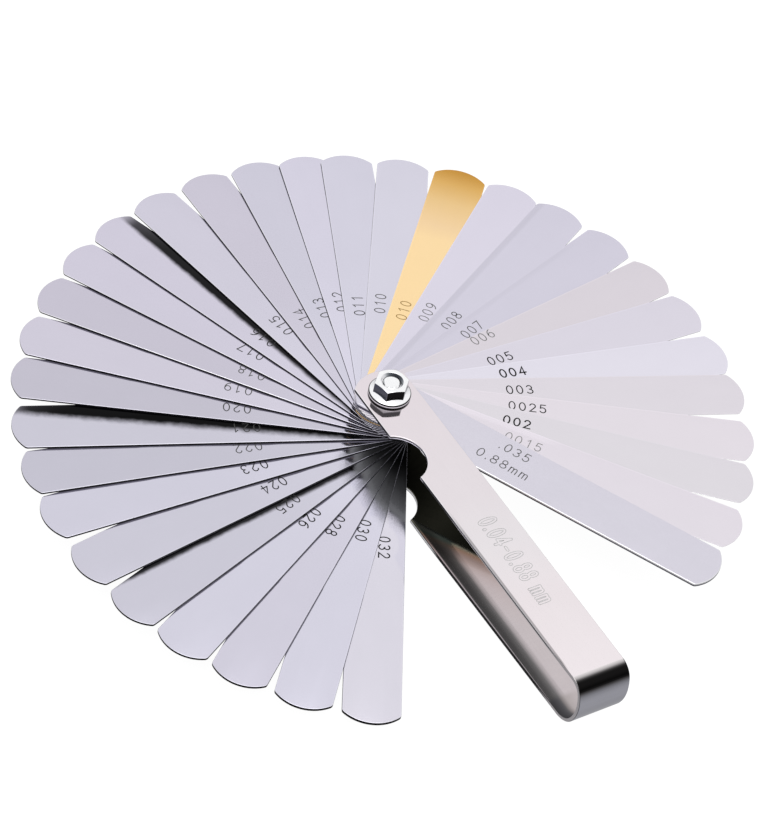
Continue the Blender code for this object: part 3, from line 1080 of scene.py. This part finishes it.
# ------------------------------------------------------------------ leaves
# size in thousandths of an inch: display colour, left edge and middle height of its number,
# display grey of the ink, half width of the strokes
LEAF_TABLE = {
    "035": ((214, 211, 222), 27.55, 3.32, 100, 0.120),
    "0015": ((226, 220, 228), 27.6, 2.55, 128, 0.105),
    "002": ((222, 218, 224), 26.3, 2.52, 30, 0.175),
    "0025": ((227, 221, 228), 27.7, 2.81, 56, 0.145),
    "003": ((222, 217, 224), 28.2, 2.60, 46, 0.145),
    "004": ((226, 223, 234), 28.6, 3.32, 26, 0.185),
    "005": ((219, 215, 226), 28.3, 2.68, 46, 0.150),
    "006": ((218, 212, 219), 29.4, 4.92, 118, 0.115),
    "007": ((210, 207, 221), 29.9, 2.52, 96, 0.120),
    "008": ((211, 208, 222), 29.5, 2.09, 92, 0.120),
    "009": ((219, 215, 229), 29.3, 2.89, 112, 0.115),
    "brass": ((252, 221, 169), 28.1, 3.02, 112, 0.120),
    "010": ((214, 212, 225), 29.6, 3.16, 92, 0.120),
    "011": ((211, 209, 223), 29.0, 2.80, 78, 0.125),
    "012": ((213, 210, 225), 31.1, 2.68, 78, 0.125),
    "013": ((206, 204, 218), 30.5, 2.20, 78, 0.125),
    "014": ((204, 200, 214), 29.3, 2.05, 84, 0.125),
    "015": ((208, 205, 219), 30.7, 1.93, 66, 0.130),
    "016": ((208, 204, 219), 31.1, 2.12, 50, 0.130),
    "017": ((208, 204, 219), 31.1, 1.81, 66, 0.130),
    "018": ((200, 196, 210), 28.5, 1.98, 92, 0.120),
    "019": ((208, 204, 218), 30.4, 2.17, 92, 0.120),
    "020": ((196, 193, 206), 30.4, 2.35, 72, 0.125),
    "021": ((203, 201, 214), 28.9, 1.95, 66, 0.125),
    "022": ((197, 195, 208), 30.0, 2.14, 84, 0.120),
    "023": ((208, 206, 220), 31.0, 2.14, 46, 0.140),
    "024": ((204, 202, 215), 30.0, 2.25, 46, 0.140),
    "025": ((203, 201, 214), 31.2, 1.95, 50, 0.140),
    "026": ((211, 209, 223), 31.0, 2.00, 44, 0.150),
    "028": ((209, 206, 220), 29.4, 1.89, 40, 0.150),
    "030": ((213, 211, 225), 27.9, 2.35, 40, 0.150),
    "032": ((218, 215, 226), 31.4, 1.68, 32, 0.155),
}
# (x, colour) along the brass leaf, deeper at the tip
BRASS_TONES = (
    (-8.0, display(252, 222, 170)), (58.0, display(252, 221, 169)),
    (63.0, display(244, 212, 165)), (72.0, display(236, 200, 141)),
    (79.0, display(223, 177, 100)), (83.5, display(203, 150, 62)),
    (85.0, display(196, 142, 56)),
)
# lower line's start and slope, upper line's start and slope, softness, fade from x, to x, depth
BANDS = {
    "016": (6.4, 0.167, 6.83, 0.132, 1.6, 79.0, 86.0, 0.985),
    "021": (5.67, 0.185, 7.33, 0.138, 2.7, 80.0, 90.0, 0.995),
    "025": (6.4, 0.167, 7.75, 0.176, 1.4, 78.0, 87.0, 0.97),
}
# how far in the handle's dark reflection starts, and its slope
MURK = {
    "032": (0.3, 0.95), "030": (3.3, 1.15), "028": (7.4, 1.2), "026": (10.8, 1.2),
    "025": (12.0, 1.2), "024": (15.0, 1.2), "023": (16.5, 1.2),
}
# painted light along the +Y edge: change of tone, above 0 a highlight and below 0 shade, and the x it reaches
RIMS = {"0015": (0.06, 34.0), "007": (-0.03, 70.0), "008": (-0.08, 84.0)}
FIRST_SIZE = "035"

# engraved text: cell height, cell width, gap
SIZE_CELL = (2.45, 1.58, 0.80)
METRIC_CELL = (2.5, 1.66, 0.78)
METRIC_X, METRIC_Y = 24.2, -2.92

joints = {joint["child"]: joint for joint in frame["joints"]}
body_of_node = {
    node: body for body, nodes in frame["record"]["behaviour"]["bodies"].items() for node in nodes
}
leaf_nodes = sorted(
    (node for node in frame["nodes"] if node.startswith("blade_")),
    key=lambda node: -span(node)[1],
)
leaf_outline = rounded_end(LEAF_TIP_X) + [(-x, -y) for x, y in rounded_end(-LEAF_ROOT_X)]
steel_edge = leaf_edge("leaf_steel_edge", STEEL, seed=3.0)
first_edge = leaf_edge("leaf_first_edge", STEEL, seed=7.0, dark=(80, 80, 94), shelf=0.0)
brass_edge = leaf_edge("leaf_brass_edge", BRASS, seed=5.0, dark=(150, 110, 60))
ink_looks = {}


def build_leaf(index, node):
    """One leaf and its engraved sizes; index counts the leaves down from the top."""
    body = body_of_node[node]
    low, high = span(node)
    thickness = high - low
    opened = -joints[body]["range_deg"][0]
    label = node[6:]
    size = node.split("_")[1].replace("in", "")
    metric = node.split("_")[2].replace("mm", "")
    is_brass = node.endswith("brass")
    colour, mark_x, mark_y, ink, half = LEAF_TABLE["brass" if is_brass else size]

    def settle(obj):
        obj.location = (0, 0, (low + high) / 2 * MM)
        obj.rotation_euler = (0, 0, math.radians(opened))
        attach(obj, body)

    bevel = min(0.14 if index <= 20 else 0.09, 0.25 * thickness)
    mesh = plate_mesh("leaf_" + label, [leaf_outline, circle(LEAF_HOLE_R, 48)], thickness, bevel)
    leaf = add_object("leaf_" + label, mesh)
    mesh.materials.append(
        leaf_face(
            "leaf_face_" + label,
            BRASS_TONES if is_brass else display(*colour),
            seed=index + 1.0,
            opened=opened,
            band=None if is_brass else BANDS.get(size),
            rough=0.13 if is_brass or index < 11 else 0.09,
            mottle=0.10 if size == FIRST_SIZE else 0.0,
            near=0.05 if index > 12 else 0.0,
            murk=MURK.get(size),
            rim=RIMS.get(size),
            arris_highlight=0.25 if index > 20 else 1.0,
        )
    )
    steel = first_edge if size == FIRST_SIZE else steel_edge
    mesh.materials.append(brass_edge if is_brass else steel)
    for polygon in mesh.polygons:
        polygon.material_index = 1 if -0.85 < polygon.normal.z < 0.30 else 0
    shade(mesh, 35)
    settle(leaf)
    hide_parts(node)

    size_h, size_w, _ = SIZE_CELL
    start = mark_x + half + 0.02 - 0.07 * size_w
    size_text = ("." if size == FIRST_SIZE else "") + size
    metric_text = metric[0] + "." + metric[1:] + "mm"
    lines = [
        (size_text, start, mark_y - size_h / 2, *SIZE_CELL),
        (metric_text, METRIC_X + half, METRIC_Y, *METRIC_CELL),
    ]
    # every stroke is let into the face and stands 0.004 mm proud of it
    face = thickness / 2
    marks = lettering("marks_" + label, lines, half, face - 0.006, face + 0.004)
    if (ink, is_brass) not in ink_looks:
        ink_name = "engraved_%d%s" % (ink, "_brass" if is_brass else "")
        ink_looks[ink, is_brass] = engraving(ink_name, ink, warm=1.1 if is_brass else 0.0)
    marks.materials.append(ink_looks[ink, is_brass])
    text = add_object("marks_" + label, marks)
    settle(text)


# ------------------------------------------------------------------ handle
# the bend's outer side is three tangent arcs; the middle one closes the height that is left
LOW_TURN, TOP_TURN = math.radians(BEND_LOW_TURN), math.radians(BEND_TOP_TURN)
BEND_FRONT_R = (
    HANDLE_HIGH - HANDLE_LOW
    - BEND_LOW_R * (1 - math.cos(LOW_TURN)) - BEND_TOP_R * (1 - math.cos(TOP_TURN))
) / (math.cos(LOW_TURN) + math.cos(TOP_TURN))
FIRST, LAST = LOW_TURN - math.pi / 2, math.pi / 2 - TOP_TURN
low_centre = (BEND_X, HANDLE_LOW + BEND_LOW_R)
front_centre = (
    low_centre[0] + (BEND_LOW_R - BEND_FRONT_R) * math.cos(FIRST),
    low_centre[1] + (BEND_LOW_R - BEND_FRONT_R) * math.sin(FIRST),
)
top_centre = (
    front_centre[0] + (BEND_FRONT_R - BEND_TOP_R) * math.cos(LAST),
    front_centre[1] + (BEND_FRONT_R - BEND_TOP_R) * math.sin(LAST),
)
# the strip's middle surface: arcs of (centre, radius, first angle, last angle), from the top
BEND_ARCS = (
    (top_centre, BEND_TOP_R - SHEET / 2, math.pi / 2, LAST),
    (front_centre, BEND_FRONT_R - SHEET / 2, LAST, FIRST),
    (low_centre, BEND_LOW_R - SHEET / 2, FIRST, -math.pi / 2),
)
BEND_LENGTH = sum(radius * (start - end) for _, radius, start, end in BEND_ARCS)
BEND_SEGMENTS = 84


def on_strip(along):
    """Point and outward direction, in X and Z, at a distance along the strip.

    It is positive on the upper flange and runs negative round the bend and the lower flange.
    """
    if along >= 0:
        return top_centre[0] - along, HANDLE_HIGH - SHEET / 2, 0.0, 1.0
    left = -along
    for (centre_x, centre_z), radius, start, end in BEND_ARCS:
        if left <= radius * (start - end):
            turn = start - left / radius
            out_x, out_z = math.cos(turn), math.sin(turn)
            return centre_x + radius * out_x, centre_z + radius * out_z, out_x, out_z
        left -= radius * (start - end)
    return BEND_X - left, HANDLE_LOW + SHEET / 2, 0.0, -1.0


def trimmed_point(along):
    """A point of the drawn-in -Y edge of the flat strip."""
    x, z, _, _ = on_strip(along)
    y = -HANDLE_W / 2 + TRIM_ALONG * (x - TRIM_X) + TRIM_DOWN * (HANDLE_HIGH - z)
    return along, max(-HANDLE_W / 2, y)


def strip_blank():
    """The flat strip before folding, with its thumb notches and rounded ends."""
    half = HANDLE_W / 2
    lift = math.degrees(math.asin((-half - NOTCH_Y) / NOTCH_R))
    notch = arc(NOTCH_X, NOTCH_Y, NOTCH_R, lift, 180 - lift, 40)
    turn = math.degrees(math.asin(half / ROOT_R))
    end = arc(ROOT_X + ROOT_R, 0, ROOT_R, 180 + turn, 180 - turn, 36)
    flange = notch + end
    upper = [(top_centre[0] - x, y) for x, y in flange]
    lower = [(-BEND_LENGTH - (BEND_X - x), y) for x, y in flange]
    edge = [trimmed_point(-BEND_LENGTH - (BEND_X - TRIM_LOW_X))]
    edge += [trimmed_point(-BEND_LENGTH * i / 40) for i in range(40, -1, -1)]
    edge += [(top_centre[0] - TRIM_TOP_X, -half)]
    return edge + upper + lower[::-1]


def fold(mesh):
    """Cut the flat strip across its bend and wrap it along its middle surface."""
    work = bmesh.new()
    work.from_mesh(mesh)
    for i in range(BEND_SEGMENTS + 1):
        bmesh.ops.bisect_plane(
            work,
            geom=work.verts[:] + work.edges[:] + work.faces[:],
            plane_co=(-BEND_LENGTH * i / BEND_SEGMENTS * MM, 0, 0),
            plane_no=(1, 0, 0),
            dist=1e-9,
        )
    for vert in work.verts:
        along, y, outward = vert.co / MM
        x, z, out_x, out_z = on_strip(along)
        vert.co = Vector((x + outward * out_x, y, z + outward * out_z)) * MM
    weld(work)
    work.to_mesh(mesh)
    work.free()


def build_handle():
    holes = [
        circle(TOP_HOLE_R, 48, top_centre[0]),
        square(SQUARE_HOLE, -BEND_LENGTH - BEND_X),
    ]
    mesh = plate_mesh("handle_strip", [strip_blank()] + holes, SHEET, 0.18)
    mesh.materials.append(handle_face("handle_steel_polished"))
    mesh.materials.append(handle_edge("handle_sheared_edge"))
    mesh.materials.append(handle_inside("handle_steel_inside"))
    # on the flat strip +Z is the outside and -Z the inside
    for polygon in mesh.polygons:
        if polygon.normal.z < -0.5:
            polygon.material_index = 2
        elif polygon.normal.z < 0.45:
            polygon.material_index = 1
        else:
            polygon.material_index = 0
    fold(mesh)
    strip = add_object("handle_strip", mesh)
    shade(mesh, 40)
    weighted(strip)
    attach(strip, "handle")
    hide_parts("handle")


def build_range_mark():
    """The gauge's range, in outline characters on the upper flange."""
    # text, x, y, height, cell width, gap
    line = ("0.04-0.88 mm", 41.2, -1.9, 4.2, 1.62, 0.86)
    mesh = outline_marks(
        "range_mark", line, spread=0.29, half=0.075,
        bottom=HANDLE_HIGH - 0.02, top=HANDLE_HIGH + 0.004,
    )
    mesh.materials.append(engraving("handle_stamped_line", 176))
    stamp = add_object("handle_range_mark", mesh)
    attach(stamp, "handle")


# ------------------------------------------------------------------ hex flange nut
def build_nut():
    low, high = span("hex_flange_nut")
    over = 0.5  # the cutting bodies stand this far above the nut, and 1 mm below it
    cone_top = low + FLANGE_RIM + FLANGE_CONE
    flange_profile = (
        [(0, cone_top + 0.3), (3.0, cone_top + 0.3)]
        + [(FLANGE_R - 0.22, low + FLANGE_RIM + 0.04)]
        + arc(FLANGE_R - 0.2, low + FLANGE_RIM - 0.16, 0.2, 80, 0, 6)
        + [(FLANGE_R, low + 0.18)]
        + arc(FLANGE_R - 0.15, low + 0.15, 0.15, 0, -90, 5)[1:]
        + [(0, low)]
    )
    nut = add_object("flange_nut", turned_mesh("flange_nut", flange_profile, 96))

    corner = NUT_AF / math.sqrt(3)
    corner_angles = [math.radians(NUT_TURN + 60 * i) for i in range(6)]
    hexagon = prism(
        "hexagon",
        [(corner * math.cos(angle), corner * math.sin(angle)) for angle in corner_angles],
        low + 0.4,
        high,
    )
    # the cone that chamfers the crown, 3 mm wider than the flats at its foot
    slope = math.tan(math.radians(CROWN_SLOPE))
    wide = 3.0
    crown_profile = [
        (0, high + over),
        (NUT_AF / 2 - CROWN_IN - over / slope, high + over),
        (NUT_AF / 2 + wide, high - (wide + CROWN_IN) * slope),
        (NUT_AF / 2 + wide, low - 1),
        (0, low - 1),
    ]
    crown_cone = add_object("crown_cone", turned_mesh("crown_cone", crown_profile, 96))
    crown_cone.rotation_euler = (0, 0, math.radians(1.7))  # keeps facets off the corners
    combine(hexagon, crown_cone, "INTERSECT")
    combine(nut, hexagon, "UNION")

    bore_profile = [
        (0, high + over),
        (NUT_MOUTH_R + over, high + over),
        (NUT_BORE_R, high - (NUT_MOUTH_R - NUT_BORE_R)),
        (NUT_BORE_R, low - 1),
        (0, low - 1),
    ]
    bore = add_object("bore", turned_mesh("bore", bore_profile, 64))
    bore.rotation_euler = (0, 0, math.radians(3.29))
    combine(nut, bore, "DIFFERENCE")

    soften = nut.modifiers.new("edges", "BEVEL")
    soften.width = 0.09 * MM
    soften.segments = 3
    soften.limit_method = "ANGLE"
    soften.angle_limit = math.radians(24)
    soften.harden_normals = False
    bake(nut)
    tidy(nut.data)
    nut.data.materials.clear()
    nut.data.materials.append(
        zinc("nut_zinc_plate", rim=(low + 0.26, low + 0.50), mouth=NUT_MOUTH_R)
    )
    shade(nut.data, 32)
    weighted(nut)
    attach(nut, "nut")
    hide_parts("hex_flange_nut")


# ------------------------------------------------------------------ pivot screw
def build_screw():
    """A round-headed screw with a square neck; its head is below the handle."""
    _, top = span("pivot_screw")
    thread_rings = 76

    def thread_radius(angle, z):
        """Flat crests, rounded roots, run out below and chamfered at the end."""
        phase = ((z - PITCH * angle / (2 * math.pi)) / PITCH) % 1.0
        # shares of half a pitch: 0.14 of root, then 0.72 of flank
        tooth = min(1.0, max(0.0, (abs(phase - 0.5) * 2 - 0.14) / 0.72))
        run_out = min(1.0, max(0.0, (z - THREAD_FROM) / 0.5))
        radius = SHANK_R - THREAD_DEPTH * (1 - tooth) * run_out
        return min(radius, SCREW_TIP_R + 0.02 + max(0.0, top - z))

    head = (
        [(0, 0), (HEAD_FLAT_R, 0)]
        + arc(HEAD_FLAT_R, HEAD_DOME, HEAD_R - HEAD_FLAT_R, -90, 0, 12, HEAD_DOME)[1:]
        + [(HEAD_R, HEAD_H - 0.1), (HEAD_R - 0.1, HEAD_H)]
    )
    shank = [(SHANK_R, HEAD_H), (SHANK_R, THREAD_FROM)]
    thread = [
        (thread_radius, THREAD_FROM + (top - THREAD_FROM) * i / thread_rings)
        for i in range(1, thread_rings + 1)
    ]
    hollow_end = [(1.25, top - 0.015), (0, top - 0.04)]
    mesh = turned_mesh("screw", head + shank + thread + hollow_end, 72, RINGS_UP)
    screw = add_object("carriage_screw", mesh)
    neck = prism("neck", square(NECK_SIDE), 1.6, HANDLE_LOW + SHEET - 0.05)
    combine(screw, neck, "UNION")
    screw.data.materials.clear()
    screw.data.materials.append(zinc("screw_zinc_plate", base=(0.92, 0.925, 0.935)))
    shade(screw.data, 32)
    weighted(screw)
    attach(screw, "handle")
    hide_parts("pivot_screw")


# ------------------------------------------------------------------ studio
# (height share of the sky, colour), from straight down to straight up
SKY_STOPS = (
    (0.00, (0.16, 0.16, 0.17)), (0.50, (0.45, 0.45, 0.46)), (0.60, (0.80, 0.795, 0.81)),
    (0.70, (0.97, 0.965, 0.975)), (0.78, (1.00, 0.995, 1.00)), (0.88, (1.00, 1.00, 1.00)),
    (0.94, (1.00, 1.00, 1.00)), (1.00, (1.00, 1.00, 1.00)),
)
FLOOR_HALF, FLOOR_Z = 1.6, -0.00005  # metres
LENS, SENSOR = 143.181818, 36
CAMERA_TILT, CAMERA_ROLL = math.radians(44.843), math.radians(-12.71)
CAMERA_BACK, CAMERA_ACROSS, CAMERA_DOWN = 740.563, 0.288, 3.627
SOFTBOX_AT, SOFTBOX_AIM = (0, -40, 620), (0, 0, 10)
SOFTBOX_SIDE, SOFTBOX_WATTS = 420, 0.9


def floor_material():
    """White paper that glows for the camera, is dimmer in mirrors and is clear from below."""
    material = bpy.data.materials.new("studio_floor")
    material.use_nodes = True
    graph = Graph(material.node_tree)
    out = graph.node("ShaderNodeOutputMaterial")
    speckle = graph.signal("ShaderNodeTexNoise", {"Scale": 40.0}, "Fac")
    tint = graph.signal("ShaderNodeMapRange", {"Value": speckle, "To Min": 0.78, "To Max": 0.82})
    paper = graph.signal("ShaderNodeBsdfDiffuse", {"Color": tint})
    # the paper's own shading, with its soft shadows, counts only a little
    nothing = graph.signal("ShaderNodeEmission", {"Strength": 0.0})
    faint_paper = graph.mix_shaders(0.14, nothing, paper)
    lit = graph.signal("ShaderNodeEmission", {"Color": (1, 1, 1), "Strength": 0.96})
    seen = graph.signal("ShaderNodeAddShader", {0: faint_paper, 1: lit})
    mirrored = graph.signal(
        "ShaderNodeEmission", {"Color": (0.97, 0.97, 1.0), "Strength": 0.42}
    )
    above = graph.mix_shaders(graph.camera_ray(), mirrored, seen)
    backfacing = graph.signal("ShaderNodeNewGeometry", output="Backfacing")
    clear = graph.signal("ShaderNodeBsdfTransparent")
    graph.put(out.inputs["Surface"], graph.mix_shaders(backfacing, above, clear))
    return material


def build_floor():
    work = bmesh.new()
    bmesh.ops.create_grid(work, x_segments=4, y_segments=4, size=FLOOR_HALF)
    bmesh.ops.translate(work, verts=work.verts, vec=(0, 0, FLOOR_Z))
    mesh = bpy.data.meshes.new("floor")
    work.to_mesh(mesh)
    work.free()
    floor = add_object("floor", mesh)
    mesh.materials.append(floor_material())


def build_world():
    """A bright dome for light and mirrors; the camera itself sees plain white."""
    world = bpy.data.worlds.new("studio")
    bpy.context.scene.world = world
    world.use_nodes = True
    graph = Graph(world.node_tree)
    out = graph.node("ShaderNodeOutputWorld")
    _, _, z = graph.split(graph.signal("ShaderNodeTexCoord", output="Generated"))
    share = graph.signal("ShaderNodeMath", {0: z, 1: 0.5, 2: 0.5}, operation="MULTIPLY_ADD")
    sky = graph.color_ramp(share, SKY_STOPS, "EASE")
    zenith = graph.signal(
        "ShaderNodeMapRange",
        {"Value": z, "From Min": 0.86, "From Max": 0.99, "To Min": 1.0, "To Max": 1.15},
        interpolation_type="SMOOTHSTEP",
    )
    studio = graph.signal("ShaderNodeBackground", {"Color": sky, "Strength": zenith})
    backdrop = graph.signal("ShaderNodeBackground", {"Color": (1, 1, 1), "Strength": 1.0})
    graph.put(out.inputs["Surface"], graph.mix_shaders(graph.camera_ray(), studio, backdrop))


def build_softbox():
    light = bpy.data.lights.new("overhead_softbox", "AREA")
    light.shape = "RECTANGLE"
    light.size = light.size_y = SOFTBOX_SIDE * MM
    light.energy = SOFTBOX_WATTS
    lamp = add_object("overhead_softbox", light)
    at = Matrix.Rotation(VIEW_TURN, 3, "Z") @ Vector(SOFTBOX_AT) * MM
    lamp.location = at
    lamp.rotation_mode = "QUATERNION"
    lamp.rotation_quaternion = (Vector(SOFTBOX_AIM) * MM - at).to_track_quat("-Z", "Y")


def build_camera():
    """The camera is placed from the top leaf's upper face."""
    data = bpy.data.cameras.new("camera")
    data.lens = LENS
    data.sensor_width = SENSOR
    data.clip_start = 0.05
    data.clip_end = 20
    camera = add_object("camera", data)
    back = Vector((0, -math.cos(CAMERA_TILT), math.sin(CAMERA_TILT)))
    side = Vector((1, 0, 0))
    up = Vector((0, math.sin(CAMERA_TILT), math.cos(CAMERA_TILT)))
    across = math.cos(CAMERA_ROLL) * side - math.sin(CAMERA_ROLL) * up
    upward = math.sin(CAMERA_ROLL) * side + math.cos(CAMERA_ROLL) * up
    where = back * CAMERA_BACK + across * CAMERA_ACROSS - upward * CAMERA_DOWN
    top_face = span(leaf_nodes[0])[1]
    turn = Matrix.Rotation(VIEW_TURN, 3, "Z")
    axes = Matrix((turn @ across, turn @ upward, turn @ back)).transposed()
    at = (turn @ where + Vector((0, 0, top_face))) * MM
    camera.matrix_world = Matrix.Translation(at) @ axes.to_4x4()
    bpy.context.scene.camera = camera


# ------------------------------------------------------------------ build
for leaf_index, leaf_node in enumerate(leaf_nodes):
    build_leaf(leaf_index, leaf_node)
build_handle()
build_nut()
build_screw()
build_range_mark()
build_floor()
build_world()
build_softbox()
build_camera()

view = bpy.context.scene.view_settings
view.view_transform = "Standard"
view.look = "None"
view.exposure = 0.0
view.gamma = 1.0
